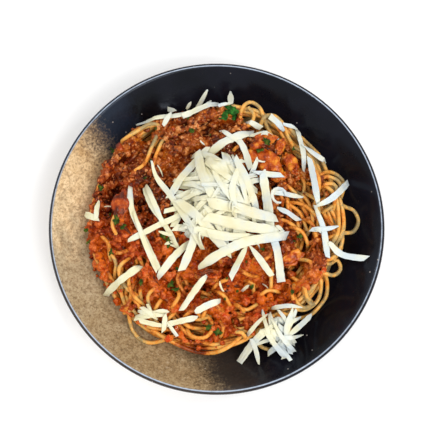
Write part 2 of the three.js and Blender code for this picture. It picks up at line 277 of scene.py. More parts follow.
def discs(x, y, radius):
    """Cells of a disc round each place, and how far they are from its middle."""
    reach = int(radius / CELL) + 1
    steps = np.arange(-reach, reach + 1)
    dx, dy = (part.ravel() for part in np.meshgrid(steps, steps))
    distance = np.hypot(dx, dy) * CELL
    inside = distance < radius
    columns = np.clip(cells(x)[:, None] + dx[inside], 0, len(GRID_AXIS) - 1)
    rows = np.clip(cells(y)[:, None] + dy[inside], 0, len(GRID_AXIS) - 1)
    return columns, rows, distance[inside]


def top_under(x, y, radius):
    """Highest point under a disc round each place."""
    columns, rows, _ = discs(x, y, radius)
    return top[columns, rows].max(axis=1)


def rest_at(x, y, radius):
    """Highest point under one disc."""
    return float(top_under(np.array([x]), np.array([y]), radius)[0])


def raise_top(x, y, height, radius, dome):
    """Add round-topped discs to the height map; dome is how far their middles stand proud."""
    columns, rows, distance = discs(x, y, radius)
    crown = dome * np.sqrt(1 - (distance / radius) ** 2)
    np.maximum.at(top, (columns, rows), np.asarray(height)[:, None] + crown)


def bridge(heights, sag, rounds):
    """Heights of a springy length that lies on these supports, dipping a little between them."""
    line = heights.copy()
    for _ in range(rounds):
        line[1:-1] = np.maximum(heights[1:-1], (line[:-2] + line[2:]) / 2 - sag)
    return line


def along(points, spacing):
    """Evenly spaced places on a smooth line through plan points."""
    stops = np.array(points, float)
    ends = np.vstack([2 * stops[0] - stops[1], stops, 2 * stops[-1] - stops[-2]])
    t = np.linspace(0, 1, 12, endpoint=False)[:, None]
    pieces = []
    for a, b, c, d in zip(ends, ends[1:], ends[2:], ends[3:]):
        pieces.append(
            b + 0.5 * t * (c - a + t * (2 * a - 5 * b + 4 * c - d + t * (3 * (b - c) + d - a)))
        )
    line = np.vstack(pieces + [stops[-1:]])
    lengths = np.concatenate([[0], np.cumsum(np.hypot(*np.diff(line, axis=0).T))])
    count = max(4, int(lengths[-1] / spacing) + 1)
    even = np.linspace(0, lengths[-1], count)
    return np.column_stack([np.interp(even, lengths, line[:, i]) for i in (0, 1)])


def spoked(spokes):
    """A smooth closed outline through evenly spaced spokes, as radius by angle."""
    closed = np.array(list(spokes) * 3, float)
    places = np.arange(len(closed)) / len(spokes) * 2 * math.pi - 2 * math.pi

    def reach(angle):
        return np.interp(angle, places, closed)

    return reach


# ---------------------------------------------------------------- spaghetti
# Durum wheat spaghetti, boiled to 2.6 mm and twirled on to the bowl from the tongs, so that
# it lies in swirls and the odd loop springs out over the rim of the heap. The strands are
# true lengths laid over a plain core, and the ones at the border are bare of sauce.

STRAND_RADIUS = 1.3
SWIRLS = 165
DEPTH_OF_STRANDS = 12.5
CORE_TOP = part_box("spaghetti")[1].z / MM - DEPTH_OF_STRANDS
heap_reach = spoked([79, 80, 79, 79, 79, 81, 82, 82, 81, 77, 73, 77])
sauce_reach = spoked([70, 70, 70, 75, 79, 82, 84, 80, 76, 77, 66, 73])
chance = random.Random(11)

# Loops and strands that can be followed by eye, in plan millimetres, lowest first.
SEEN_STRANDS = [
    [(-57, 44), (-58, 53), (-49, 60), (-35, 64), (-20, 62)],
    [(-54, -52), (-54, -60), (-52, -67), (-47, -72), (-40, -74), (-29, -71), (-18, -66)],
    [(-62, -40), (-50, -57), (-36, -68), (-18, -76), (-1, -77), (13, -74), (26, -67)],
    [(-40, -66), (-28, -73), (-14, -79), (-2, -80), (8, -76), (16, -69)],
    [(34, -62), (24, -72), (32, -78), (41, -74), (45, -66), (38, -58)],
    [(58, -26), (67, -33), (69, -44), (64, -52), (58, -57), (49, -59), (38, -56)],
    [(56, -28), (63, -35), (64, -44), (61, -50), (54, -54), (44, -53)],
    [(62, -20), (69, -26), (75, -23), (77, -29), (72, -33), (64, -32)],
    [(52, 62), (62, 52), (67, 41), (72, 31), (76, 18), (74, 4), (76, -8)],
    [(48, 65), (58, 56), (65, 46), (70, 34), (73, 22), (70, 8), (73, -4), (69, -18)],
    [(44, 66), (54, 54), (62, 42), (66, 27), (66, 10), (72, -3), (78, -14), (72, -24)],
    [(58, 42), (64, 29), (69, 12), (76, 0), (78, -12), (72, -22), (60, -26)],
    [(60, 18), (66, 30), (74, 33), (81, 29), (81, 22), (76, 13), (66, 6)],
    [(62, 14), (72, 14), (80, 11), (87, 9), (90, 2), (86, -5), (79, -7), (68, -10)],
    [(6, 58), (14, 65), (16, 73), (21, 78), (27, 75), (31, 66), (36, 58)],
    [(25, 58), (30, 67), (36, 70), (42, 66), (45, 59), (49, 50)],
    [(10, 56), (14, 62), (20, 63), (24, 69), (20, 74)],
    [(-58, -24), (-60, -40), (-53, -56), (-42, -64), (-30, -66)],
    [(-52, -30), (-56, -44), (-48, -58), (-36, -62)],
    [(-47, -30), (-50, -44), (-44, -56), (-32, -60)],
    [(-76, 10), (-74, 2), (-70, -6), (-66, -14), (-64, -24)],
    [(-31, -52), (-24, -62), (-16, -70), (-7, -71), (-2, -64), (-7, -57), (-16, -56)],
    [(-24, -30), (-22, -40), (-16, -47), (-6, -50)],
    [(-30, 66), (-36, 58), (-44, 46), (-50, 34), (-58, 26)],
    [(-36, 64), (-42, 54), (-50, 44), (-58, 36)],
    [(40, -34), (47, -40), (48, -48), (53, -53), (60, -50)],
    [(44, -32), (52, -38), (54, -46), (58, -51)],
    [(58, 26), (64, 20), (62, 10), (66, 0), (64, -10)],
    [(50, 36), (56, 26), (54, 14), (58, 4)],
    [(46, 30), (50, 40), (44, 48), (36, 52), (30, 60)],
    [(68, 26), (76, 15), (79, 4), (78, -6), (73, -15)],
    [(66, 24), (74, 14), (76, 3), (75, -7), (69, -17)],
    [(60, 22), (68, 28), (76, 26), (77, 19), (70, 14), (60, 12)],
    [(58, 16), (66, 22), (73, 22), (73, 15), (64, 10)],
]


def core_height(x, y):
    """Top of the plain core under the strands, in millimetres."""
    share = np.hypot(x, y) / heap_reach(np.arctan2(y, x))
    edge = inside_height(np.hypot(x, y)) + 0.6
    dome = np.clip(1.04 - share**2.4, 0, 1)
    return np.where(share < 0.97, edge * (1 - dome) + CORE_TOP * dome, 0)


def core_body():
    """A mound whose underside follows the bowl."""
    rings = 24
    share = [0.955 * i / rings for i in range(rings + 1)]
    bm = turned([(u, 0.0) for u in share] + [(u, 1.0) for u in reversed(share)], 96)
    for vert in bm.verts:
        angle = math.atan2(vert.co.y, vert.co.x)
        reach = float(heap_reach(angle))
        x, y, is_top = vert.co.x * reach, vert.co.y * reach, vert.co.z > 0.5
        floor = float(inside_height(math.hypot(x, y))) + 0.3
        vert.co = (x, y, max(floor, float(core_height(x, y))) if is_top else floor)
    return bm


def lay_strand(points):
    """One strand over all below it: its middle line in millimetres."""
    line = along(points, 2.0)
    rest = top_under(line[:, 0], line[:, 1], STRAND_RADIUS * 0.7) + STRAND_RADIUS * 0.75
    clear = inside_height(np.hypot(line[:, 0], line[:, 1])) + STRAND_RADIUS + 0.2
    height = np.maximum(bridge(rest, 0.12, 60), clear)
    dense = np.linspace(0, len(line) - 1, len(line) * 4)
    x, y, z = (np.interp(dense, np.arange(len(line)), part) for part in (*line.T, height))
    raise_top(x, y, z, STRAND_RADIUS, STRAND_RADIUS)
    return np.column_stack([line, height])


def swirl():
    """A random strand twirled round the heap, as plan points."""
    middle_x, middle_y = chance.uniform(-12, 12), chance.uniform(-12, 12)
    radius = 78 * math.sqrt(chance.uniform(0.12, 1))
    start, turn = chance.uniform(0, 2 * math.pi), chance.uniform(0.9, 2.6)
    wave, waves, phase = chance.uniform(1, 8), chance.uniform(1.5, 4), chance.uniform(0, 6)
    drift = chance.uniform(-12, 12)
    points = []
    for i in range(9):
        share = i / 8
        angle = start + turn * share
        reach = float(heap_reach((angle + math.pi) % (2 * math.pi) - math.pi)) - 2.5
        wander = radius + wave * math.sin(waves * angle + phase) + drift * share
        x, y = middle_x + wander * math.cos(angle), middle_y + wander * math.sin(angle)
        shrink = min(1, reach / math.hypot(x, y))
        points.append((x * shrink, y * shrink))
    return points


top = np.maximum(top, core_height(GRID_X, GRID_Y))
strand_lines = [lay_strand(swirl()) for _ in range(SWIRLS)]
strand_lines += [lay_strand(points) for points in SEEN_STRANDS]


def strands_mesh(name, lines, radius):
    """Round strands with closed ends along these middle lines."""
    curve = bpy.data.curves.new(name, "CURVE")
    curve.dimensions = "3D"
    curve.bevel_depth = radius * MM
    curve.bevel_resolution = 1
    curve.use_fill_caps = True
    for line in lines:
        spline = curve.splines.new("POLY")
        spline.points.add(len(line) - 1)
        spline.points.foreach_set("co", np.column_stack([line * MM, np.ones(len(line))]).ravel())
        spline.use_smooth = True
    bare = bpy.data.objects.new(name, curve)
    bpy.context.scene.collection.objects.link(bare)
    mesh = bpy.data.meshes.new_from_object(bare.evaluated_get(bpy.context.evaluated_depsgraph_get()))
    bpy.data.objects.remove(bare)
    piece = bpy.data.objects.new(name, mesh)
    bpy.context.scene.collection.objects.link(piece)
    return piece


def cooked_pasta():
    """Boiled durum pasta: translucent and starchy, pale at the border and stained with sauce."""
    material, shader, node, place = new_material("boiled durum wheat pasta")
    stain = node("TexNoise", {"Vector": place, "Scale": 1 / 0.012, "Detail": 4.0})
    streak = node("TexNoise", {"Vector": place, "Scale": 1 / 0.0035, "Detail": 3.0})
    near_sauce = node("Attribute", attribute_name="near_sauce", output="Fac")
    sauced = node("Math", {0: near_sauce, 1: 0.44, 2: stain}, operation="MULTIPLY_ADD")
    sauced = node("Math", {0: sauced, 1: 1.5}, operation="MULTIPLY")
    sauced = node("Math", {0: streak, 1: 0.4, 2: sauced}, operation="MULTIPLY_ADD")
    fleck = node("TexNoise", {"Vector": place, "Scale": 1 / 0.0011, "Detail": 2.0})
    sauced = node("Math", {0: fleck, 1: 0.4, 2: sauced}, operation="MULTIPLY_ADD")
    sauced = node("Math", {0: sauced, 1: 0.9}, operation="SUBTRACT")
    colour = node(
        "ValToRGB", {0: sauced},
        stops=[
            (0.08, "#8c7b56"), (0.24, "#ae8f5a"), (0.38, "#dba655"),
            (0.56, "#e09038"), (0.78, "#9a420f"), (1.0, "#561b05"),
        ],
    )
    fill(shader, {
        "Base Color": colour, "Roughness": 0.33, "IOR": 1.36, "Specular Tint": "#ffe6bf",
        "Subsurface Weight": 0.18, "Subsurface Radius": (0.003, 0.0018, 0.0009), "Coat Weight": 0.15,
        "Coat Roughness": 0.18,
    })
    return material


pasta = cooked_pasta()
spaghetti = strands_mesh("spaghetti_strands", strand_lines, STRAND_RADIUS)
spaghetti_core = finish_mesh("spaghetti_core", core_body())
for piece in (spaghetti, spaghetti_core):
    served(piece, pasta, "pasta", "spaghetti")

# ---------------------------------------------------------------- meat sauce
# Ragu: fried minced beef and finely diced vegetables in reduced tomato, ladled over the
# middle. Each crumb of mince is coated, so crumbs and sauce are one wet, lumpy body. It
# thins out at the border, and the pasta shows through it in patches.

# Places where the pasta shows through the sauce: plan middle and radius, in millimetres.
BARE_PATCHES = [
    (77, 8, 10), (68, 38, 12), (58, 4, 13), (50, 16, 8), (56, -50, 9), (-53, -46, 11), (-38, -64, 8),
    (-14, -66, 7), (14, -72, 9), (24, 70, 9), (50, 60, 9), (74, -14, 10), (-44, 60, 6),
    (44, 44, 7), (57, 22, 9), (36, -60, 10), (-22, -40, 7), (-38, 52, 5),
    (-8, -62, 7), (44, 8, 7), (-60, -34, 8), (-24, -62, 8), (48, -30, 8), (56, -14, 8),
    (36, 22, 5), (-48, -26, 6), (-6, -44, 5), (12, -58, 6),
]


def cover(x, y):
    """How thickly the sauce lies here, from 0 to 1."""
    share = np.hypot(x, y) / sauce_reach(np.arctan2(y, x))
    amount = np.clip((1.03 - share) / 0.12, 0, 1)
    for patch_x, patch_y, radius in BARE_PATCHES:
        distance = np.hypot(x - patch_x, y - patch_y) / radius
        amount = amount * np.clip((distance - 0.55) / 0.6, 0.13, 1)
    return amount


def plan_places(piece):
    """Where a piece's vertices are in plan, in millimetres."""
    places = np.empty(len(piece.data.vertices) * 3)
    piece.data.vertices.foreach_get("co", places)
    return places.reshape(-1, 3).T[:2] / MM


def mark(piece, name, values):
    """Keep one number for each vertex, for the material to read."""
    piece.data.attributes.new(name, "FLOAT", "POINT").data.foreach_set("value", values)


for piece in (spaghetti, spaghetti_core):
    # How much sauce is on a strand: none at the border, and 1 under the ragu and inside.
    x, y = plan_places(piece)
    share = np.hypot(x, y) / sauce_reach(np.arctan2(y, x))
    nearness = np.clip((1.16 - share) / 0.26, 0, 1) * (0.4 + 0.6 * cover(x, y))
    # Thin sauce ran down over the strands at the near side.
    run = np.exp(-(((x + 17) / 20) ** 2) - ((y + 79) / 8) ** 2)
    nearness = np.maximum(nearness, 0.95 * run)
    if piece == spaghetti_core:
        nearness[:] = 1.5
    mark(piece, "near_sauce", nearness)


def blurred(heights, radius):
    """Heights averaged over a square of cells, twice."""
    reach = int(radius / CELL)
    for axis in (0, 1, 0, 1):
        heights = sum(np.roll(heights, i, axis) for i in range(-reach, reach + 1)) / (2 * reach + 1)
    return heights


def swung(x, y, turn):
    """A plan place turned about the origin."""
    return x * math.cos(turn) - y * math.sin(turn), x * math.sin(turn) + y * math.cos(turn)


def lump(bm, middle, radius, flatness, rng):
    """One crumb of mince: a small ball pushed out of shape."""
    made = bmesh.ops.create_icosphere(bm, subdivisions=1, radius=1)["verts"]
    seed = Vector((rng.uniform(0, 99), rng.uniform(0, 99), rng.uniform(0, 99)))
    stretch = Vector((rng.uniform(0.75, 1.35), rng.uniform(0.75, 1.25), flatness))
    turn = rng.uniform(0, math.pi)
    for vert in made:
        push = 1 + 0.7 * noise.noise(vert.co * 1.3 + seed)
        x, y, z = vert.co * stretch * radius * push
        dx, dy = swung(x, y, turn)
        vert.co = (middle[0] + dx, middle[1] + dy, middle[2] + z)


def gather(bm, batch):
    """Move the pieces made in a small bmesh into the main one."""
    held = bpy.data.meshes.new("batch")
    batch.to_mesh(held)
    batch.free()
    bm.from_mesh(held)
    bpy.data.meshes.remove(held)


def sauce_sheet(bm, thickness):
    """The loose sauce between the crumbs: a sheet over the strands, with closed borders."""
    level = np.maximum(blurred(top, 2.0) - 0.2, 0)
    sheet = bmesh.ops.create_grid(bm, x_segments=104, y_segments=104, size=78)["verts"]
    covered = {}
    for vert in sheet:
        x, y = vert.co.x, vert.co.y
        amount = float(cover(x, y))
        ripple = 0.9 * noise.noise(Vector((x, y, 0)) / 6)
        covered[vert] = amount > 0.42
        height = level[cells(x), cells(y)] - 2.2 * (1 - amount) + ripple
        vert.co.z = max(float(height), inside_height(math.hypot(x, y)) + 0.4)
    bmesh.ops.delete(bm, geom=[v for v, keep in covered.items() if not keep], context="VERTS")
    faces = [face for face in bm.faces if len(face.verts) == 4]
    bmesh.ops.solidify(bm, geom=faces, thickness=-thickness)


CRUMBS = 5000
CRUMBS_IN_BATCH = 80
SHEET_THICKNESS = 1.8
SKIN_DETAIL = 0.6
SKIN_TRIANGLES = 190000
ragu = bmesh.new()
sauce_sheet(ragu, SHEET_THICKNESS)
before_mince = blurred(top, 2.0)
crumbs = []
batch = bmesh.new()
chance = random.Random(23)
while len(crumbs) < CRUMBS:
    x, y = chance.uniform(-82, 82), chance.uniform(-82, 82)
    # The mince lies in clumps of about a centimetre, with hollows of plain sauce between.
    clump = noise.noise(Vector((x, y, 7)) / 7)
    if chance.random() > min(1, 1.5 * float(cover(x, y))) * min(1, max(0.45, 0.66 + 1.3 * clump)):
        continue
    radius = 0.7 + 2.1 * chance.random() ** 2.6
    height = rest_at(x, y, radius * 0.45)
    height = min(height, float(before_mince[cells(x), cells(y)]) + 4.0)
    height = max(height, inside_height(math.hypot(x, y)) + 0.7 * radius)
    middle = (x, y, height + radius * 0.3)
    lump(batch, middle, radius, chance.uniform(0.6, 0.95), chance)
    raise_top([x], [y], [middle[2]], radius, radius * 0.75)
    shade = 0.5 + 0.9 * noise.noise(Vector((x, y, 30)) / 9)
    crumbs.append((middle, radius, min(1, max(0, 0.5 * shade + 0.5 * chance.random()))))
    # Crumbs are quick to make in small batches; the last few, short of a batch, are left off.
    if len(crumbs) % CRUMBS_IN_BATCH == 0:
        gather(ragu, batch)
        batch = bmesh.new()


def apply_modifiers(piece):
    """Put the modified mesh in the place of the plain one."""
    mesh = bpy.data.meshes.new_from_object(piece.evaluated_get(bpy.context.evaluated_depsgraph_get()))
    piece.modifiers.clear()
    piece.data = mesh


def fused(piece, voxel, most_triangles):
    """The piece's mesh remeshed into one smooth skin, then thinned to this many triangles."""
    remesh = piece.modifiers.new("fuse", "REMESH")
    remesh.mode = "VOXEL"
    remesh.voxel_size = voxel * MM
    remesh.use_smooth_shade = True
    soften = piece.modifiers.new("soften", "SMOOTH")
    soften.factor = 0.5
    soften.iterations = 1
    apply_modifiers(piece)
    thin = piece.modifiers.new("thin", "DECIMATE")
    thin.ratio = min(1, most_triangles / (2 * len(piece.data.polygons)))
    apply_modifiers(piece)


def mark_crumbs(piece):
    """Give every vertex its crumb's own tint, and how far it stands out of the sauce."""
    nearby = kdtree.KDTree(len(crumbs))
    for i, (middle, _, _) in enumerate(crumbs):
        nearby.insert(Vector(middle) * MM, i)
    nearby.balance()
    count = len(piece.data.vertices)
    tints, depths = np.empty(count), np.empty(count)
    for i, vert in enumerate(piece.data.vertices):
        _, nearest, distance = nearby.find(vert.co)
        tints[i] = crumbs[nearest][2]
        depths[i] = distance / MM / crumbs[nearest][1]
    mark(piece, "crumb_tint", tints)
    mark(piece, "sauce_depth", depths)


def ragu_finish():
    """Minced beef in tomato: brown crumbs under a glossy orange-red film of oil and tomato."""
    material, shader, node, place = new_material("meat and tomato sauce")
    tint = node("Attribute", attribute_name="crumb_tint", output="Fac")
    depth = node("Attribute", attribute_name="sauce_depth", output="Fac")
    blotch = node("TexNoise", {"Vector": place, "Scale": 1 / 0.016, "Detail": 3.0})
    fibre = node("TexNoise", {"Vector": place, "Scale": 1 / 0.0011, "Detail": 4.0, "Roughness": 0.65})
    # The sauce is painted brighter towards the near side: painted light.
    painted_light_tone = node("VectorMath", {0: place, 1: (-0.3, -2.2, 0.0)}, operation="DOT_PRODUCT")
    # It is painted darkest at the left, as painted shade, and brighter at the near left.
    for pool, most in (((-0.053, 0.014, 0.033), -0.16), ((-0.044, -0.048, 0.033), 0.12)):
        away = node("VectorMath", {0: place, 1: pool}, operation="DISTANCE")
        change = node(
            "MapRange", {0: away, 1: 0.008, 2: 0.034, 3: most, 4: 0.0}, interpolation_type="SMOOTHSTEP",
        )
        painted_light_tone = node("Math", {0: painted_light_tone, 1: change}, operation="ADD")
    strand = node("TexNoise", {"Vector": place, "Scale": 1 / 0.0018, "Detail": 3.0, "Roughness": 0.6})
    meat_tone = node("Math", {0: tint, 1: painted_light_tone}, operation="ADD")
    meat_tone = node("Math", {0: strand, 1: 1.1, 2: meat_tone}, operation="MULTIPLY_ADD")
    meat_tone = node("Math", {0: blotch, 1: 0.7, 2: meat_tone}, operation="MULTIPLY_ADD")
    meat_tone = node("Math", {0: meat_tone, 1: 0.88}, operation="SUBTRACT")
    sauce_tone = node("Math", {0: blotch, 1: painted_light_tone}, operation="ADD")
    sauce_tone = node("Math", {0: strand, 1: 0.5, 2: sauce_tone}, operation="MULTIPLY_ADD")
    sauce_tone = node("Math", {0: sauce_tone, 1: 0.25}, operation="SUBTRACT")
    meat = node(
        "ValToRGB", {0: meat_tone},
        stops=[
            (0.0, "#3c1205"), (0.2, "#6a2c0c"), (0.42, "#964614"), (0.64, "#b9662a"),
            (0.8, "#d88b48"), (0.9, "#e8b07a"), (0.95, "#d8742c"), (1.0, "#c84e16"),
        ],
    )
    sauce = node(
        "ValToRGB", {0: sauce_tone},
        stops=[(0.3, "#3e0f03"), (0.42, "#772706"), (0.54, "#ac4c0e"), (0.68, "#dc8a26")],
    )
    wet = node("Math", {0: fibre, 1: 0.9, 2: depth}, operation="MULTIPLY_ADD")
    wet = node("MapRange", {0: wet, 1: 1.3, 2: 2.0, 3: 0.1, 4: 1.0})
    colour = node("Mix", {0: wet, 6: meat, 7: sauce}, data_type="RGBA")
    # Pale specks 1 to 2 mm across are the palest things in it: partly beads of fat and flecks of onion,
    # partly painted glints of the wet sauce.
    speck_noise = node("TexNoise", {"Vector": place, "Scale": 1 / 0.0021, "Detail": 1.0, "Roughness": 0.4})
    fat_and_glint_specks = node("MapRange", {0: speck_noise, 1: 0.61, 2: 0.67, 3: 0.0, 4: 0.6})
    colour = node("Mix", {0: fat_and_glint_specks, 6: colour, 7: "#eba468"}, data_type="RGBA")
    # The near side and the left have more tomato, and the far side more browned meat.
    redden = node("VectorMath", {0: place, 1: (-0.4, -1.0, 0.0)}, operation="DOT_PRODUCT")
    redden = node("MapRange", {0: redden, 1: -0.03, 2: 0.03})
    colour = node("Mix", {0: redden, 6: colour, 7: "#f8bd9c"}, data_type="RGBA", blend_type="MULTIPLY")
    grain = node("Bump", {"Height": fibre, "Strength": 1.0, "Distance": 1.1 * MM})
    fill(shader, {
        "Base Color": colour, "Normal": grain, "Roughness": 0.24, "IOR": 1.33,
        "Specular Tint": "#ffb27a", "Subsurface Weight": 0.12,
        "Subsurface Radius": (0.004, 0.0012, 0.0005), "Coat Weight": 0.22, "Coat Roughness": 0.06,
    })
    return material


meat_sauce = finish_mesh("meat_sauce_body", ragu)
fused(meat_sauce, SKIN_DETAIL, SKIN_TRIANGLES)
mark_crumbs(meat_sauce)
served(meat_sauce, ragu_finish(), "meat_sauce", "meat_sauce")

# Strands that come up through the ragu and go under again. The first group is bare, as if it
# was twirled in last; the second is gold with oil and tomato.
BARE_OVER_SAUCE = [
    [(-62, 52), (-52, 57), (-43, 63), (-36, 63)],
    [(-37, 59), (-42, 48), (-46, 37), (-54, 31)],
    [(-34, 56), (-38, 46), (-41, 36)],
    [(52, 44), (60, 34), (63, 22), (61, 10)],
    [(48, 50), (56, 44), (62, 36)],
    [(50, 22), (58, 13), (60, 0), (56, -9)],
    [(45, 13), (53, 7), (57, -4)],
    [(56, 20), (63, 8), (63, -5)],
    [(43, 25), (51, 18), (57, 8)],
    [(40, 3), (48, -1), (54, -9)],
]
GOLD_OVER_SAUCE = [
    [(-23, -29), (-24, -37), (-18, -46)],
    [(-25, -40), (-23, -46), (-28, -54)],
    [(-49, -36), (-52, -41), (-53, -49), (-57, -56)],
    [(-44, -34), (-47, -42), (-46, -50)],
    [(-19, -64), (-15, -70), (-7, -71), (-2, -66)],
    [(-40, -60), (-46, -54), (-52, -46)],
    [(48, -39), (46, -44), (47, -50)],
    [(53, -40), (55, -47), (59, -49)],
    [(51, -22), (57, -25), (58, -30)],
    [(2, -61), (4, -66), (2, -71)],
    [(11, -68), (15, -68), (18, -72)],
    [(2, -37), (0, -39), (-3, -42)],
    [(-63, -26), (-58, -34), (-59, -42)],
    [(-72, -8), (-67, -14), (-66, -23)],
    [(54, 4), (60, -2), (62, -11)],
    [(47, 14), (55, 11), (62, 4)],
    [(46, -2), (54, -6), (58, -15)],
    [(66, 22), (72, 16), (73, 8)],
    [(26, -46), (32, -42), (39, -43)],
    [(-60, 6), (-64, -2), (-61, -10)],
    [(-34, -48), (-38, -56), (-36, -66)],
    [(-54, -22), (-60, -30), (-56, -40), (-48, -46)],
    [(-66, -18), (-62, -26), (-64, -34)],
    [(-50, -28), (-54, -36), (-50, -46), (-44, -52)],
    [(-22, -57), (-12, -60), (-4, -58)],
    [(-36, -40), (-42, -46), (-40, -56)],
    [(10, -50), (18, -54), (26, -50)],
]
GOLD_STRANDS = 54
rng = random.Random(61)
while len(GOLD_OVER_SAUCE) < GOLD_STRANDS:
    x, y = rng.uniform(-76, 76), rng.uniform(-76, 70)
    # Fewer come through on the far left, where the ragu is thickest.
    if rng.random() > float(cover(x, y)) * (0.5 + 0.005 * (x - 1.4 * y)):
        continue
    heading = math.atan2(x, -y) + rng.gauss(0, 0.7)
    length, bow = rng.uniform(6, 17), rng.uniform(-3, 3)
    ahead = np.array([math.cos(heading), math.sin(heading)])
    aside = np.array([-ahead[1], ahead[0]])
    middle = np.array([x, y])
    GOLD_OVER_SAUCE.append([middle - ahead * length / 2, middle + aside * bow, middle + ahead * length / 2])


def surfacing(points, dip):
    """A strand laid over the ragu whose ends go down into it."""
    line = lay_strand(points)
    share = np.linspace(-1, 1, len(line))
    line[:, 2] -= 0.7 + dip * share**4
    clear = inside_height(np.hypot(line[:, 0], line[:, 1])) + STRAND_RADIUS + 0.3
    line[:, 2] = np.maximum(line[:, 2], clear)
    return line


for name, routes, dip, sauce_on_it in (
    ("bare_strands_over_sauce", BARE_OVER_SAUCE, 3.6, 0.12),
    ("gold_strands_over_sauce", GOLD_OVER_SAUCE, 4.2, 0.34),
):
    strands = strands_mesh(name, [surfacing(route, dip) for route in routes], STRAND_RADIUS * 0.94)
    x, y = plan_places(strands)
    inside = np.clip((0.9 - np.hypot(x, y) / sauce_reach(np.arctan2(y, x))) / 0.3, 0, 1)
    mark(strands, "near_sauce", sauce_on_it + 0.3 * inside)
    served(strands, pasta, "pasta", "spaghetti")

# ---------------------------------------------------------------- tomato
# Pieces of stewed tomato about as long as a thumbnail, soft and wet. They were torn into the
# sauce as it cooked, and lie sunk in the top of it.


def stewed_tomato():
    """Cooked tomato flesh: deep orange-red, translucent and very wet."""
    material, shader, node, place = new_material("stewed tomato flesh")
    mottle = node("TexNoise", {"Vector": place, "Scale": 1 / 0.004, "Detail": 4.0})
    # The pieces are drawn darker and redder at the left and more orange at the right.
    tone_by_side = node("VectorMath", {0: place, 1: (1.3, 0.0, 0.0)}, operation="DOT_PRODUCT")
    tone_by_side = node("Math", {0: tone_by_side, 1: mottle}, operation="ADD")
    colour = node(
        "ValToRGB", {0: tone_by_side},
        stops=[(0.3, "#4a1304"), (0.43, "#8e3008"), (0.56, "#b65211"), (0.7, "#d88a2c")],
    )
    fill(shader, {
        "Base Color": colour, "Roughness": 0.2, "IOR": 1.4, "Specular Tint": "#ffb890",
        "Subsurface Weight": 0.15, "Subsurface Radius": (0.004, 0.001, 0.0005), "Coat Weight": 0.25,
        "Coat Roughness": 0.08,
    })
    return material


def tomato_piece(low, high, heading, seed):
    """A soft folded piece that fills its box in plan, resting on the sauce."""
    bm = bmesh.new()
    bmesh.ops.create_icosphere(bm, subdivisions=4, radius=1)
    middle = (low + high) / 2 / MM
    turn = math.radians(heading)
    length = (high - low).length / MM / 2.3
    rest = rest_at(middle.x, middle.y, 3.0) - 0.9
    for vert in bm.verts:
        fold = 1 + 0.45 * noise.noise(vert.co * 1.7 + Vector((seed, 0, 0)))
        crease = 1 - 0.3 * math.exp(-((vert.co.y - 0.25 * math.sin(3 * vert.co.x)) / 0.22) ** 2)
        fibres = 0.35 * noise.noise(vert.co * 4.5 + Vector((0, seed, 0)))
        x, y = vert.co.x * length * fold, vert.co.y * 0.55 * length * fold
        z = vert.co.z * 2.0 * fold * (crease if vert.co.z > 0 else 1) + fibres * 1.6
        dx, dy = swung(x, y, turn)
        vert.co = (middle.x + dx, middle.y + dy, rest + z)
    raise_top([middle.x], [middle.y], [rest], 0.6 * length, 2.4)
    return bm


tomato_finish = stewed_tomato()
for solid, heading, seed in (("tomato_01", -32, 3), ("tomato_02", 84, 8), ("tomato_03", 20, 15)):
    tomato = finish_mesh(solid + "_flesh", tomato_piece(*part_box(solid), heading, seed))
    served(tomato, tomato_finish, "tomato", solid)

# More pieces lie round the large one at the far right: plan middle, length and heading.
torn = bmesh.new()
for x, y, length, heading in (
    (30, 52, 16, 15), (47, 38, 15, 118), (27, 31, 13, 40),
    (40, 49, 12, 60), (23, 42, 14, 95), (40, 30, 12, 10),
):
    middle, reach = Vector((x, y, 0)) * MM, Vector((length, 0, 0)) * MM / 2
    gather(torn, tomato_piece(middle - reach, middle + reach, heading, x))
torn = finish_mesh("torn_tomato", torn)
served(torn, tomato_finish, "tomato")

# Dice of tomato 2 to 8 mm across, lying in the top of the sauce. The first few stand out at the
# far left and round the large piece at the far right; the rest are strewn.
DICE = 44
red_dice = bmesh.new()
rng = random.Random(41)
dice_places = [(-61, 48, 2.4), (-75, 31, 2.2), (-58, 40, 1.7), (-68, 36, 1.8)]
dice_places += [(25, 48, 3.4), (33, 51, 2.8), (43, 42, 4.0), (47, 35, 3.0), (30, 35, 3.6), (40, 33, 3.0)]
while len(dice_places) < DICE:
    x, y = rng.uniform(-76, 76), rng.uniform(-76, 76)
    if rng.random() < float(cover(x, y)):
        dice_places.append((x, y, rng.uniform(1.0, 1.9)))
for x, y, radius in dice_places:
    rest = max(rest_at(x, y, 0.6), inside_height(math.hypot(x, y)) + 1.6 * radius)
    lump(red_dice, (x, y, rest), radius, rng.uniform(0.5, 0.8), rng)
    raise_top([x], [y], [rest], radius, radius * 0.6)
red_dice = finish_mesh("diced_tomato", red_dice)
served(red_dice, tomato_finish, "tomato")

# ---------------------------------------------------------------- parsley
# Torn flat-leaf parsley: thin curled bits up to 7 mm across. A sprig at the far border is still
# fresh and bright, and the others were cooked in the sauce and are dark and stained.


